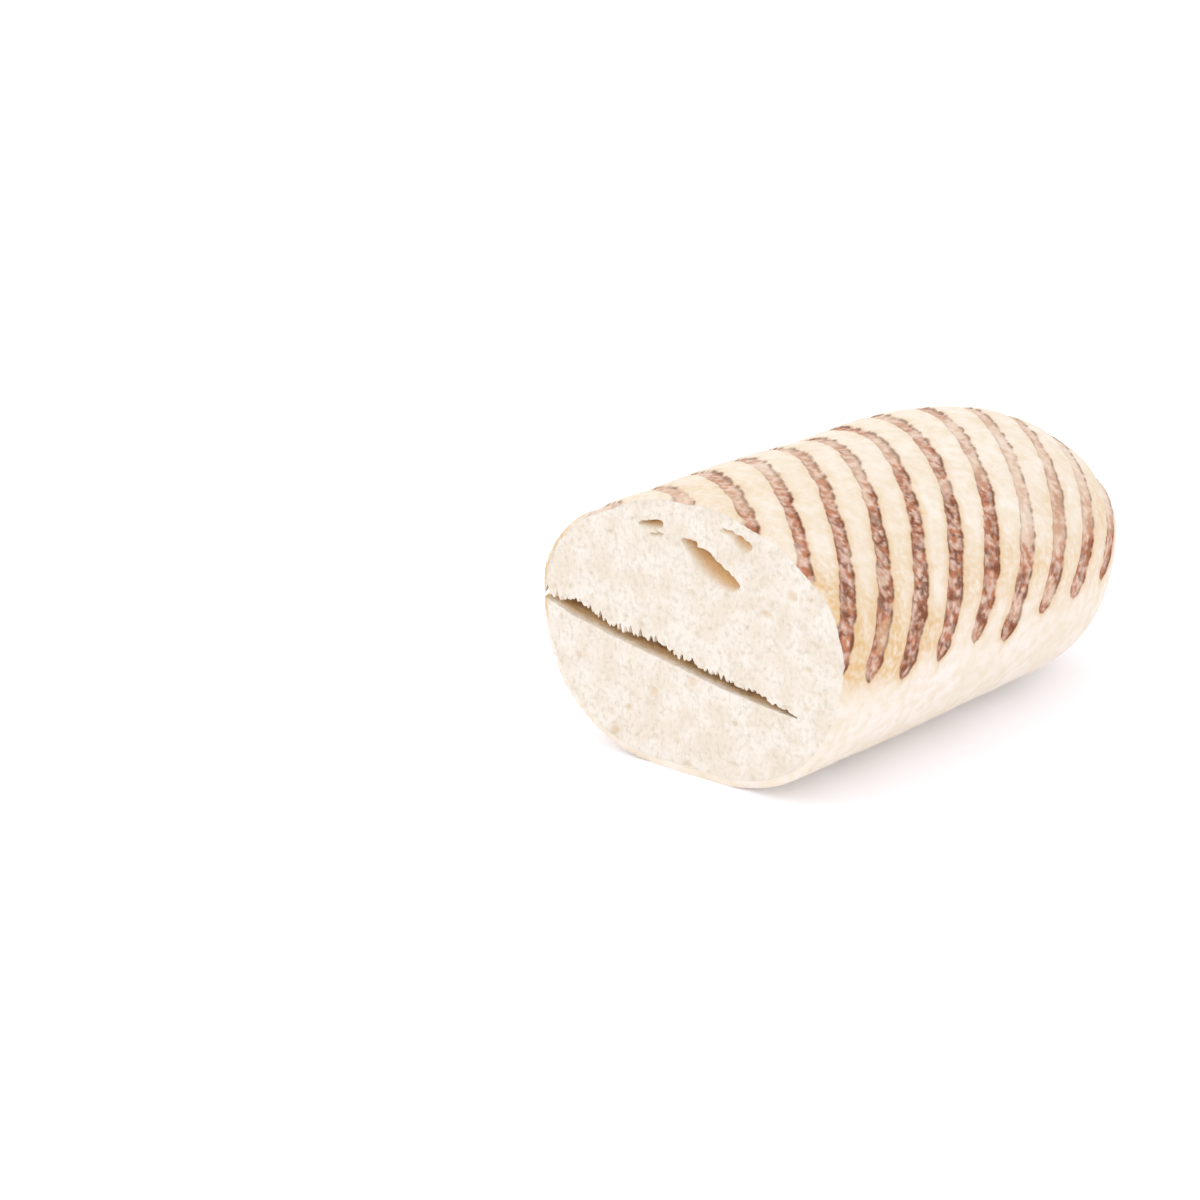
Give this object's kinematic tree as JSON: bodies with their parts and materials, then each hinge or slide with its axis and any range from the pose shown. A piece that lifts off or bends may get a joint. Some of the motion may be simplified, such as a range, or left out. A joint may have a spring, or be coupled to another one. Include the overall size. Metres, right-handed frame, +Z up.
{
  "type": "parbaked bread roll",
  "caption": "Half of a long pale parbaked bread roll with grill marks on top, cut straight across and slit along one side for filling.",
  "frame": {"origin": "middle of the base of the roll's bounding box, on the surface that it rests on", "axes": "+X along the roll from the cut face to the rounded end, +Y towards the side that the slit opens on, +Z up"},
  "size_m": [0.122, 0.0766, 0.0576],
  "materials": {
    "crust": "matte pale parbaked crust with brown grill marks, and open cream crumb on the cut face"
  },
  "bodies": {
    "root": {"roll": "crust"}
  },
  "joints": []
}
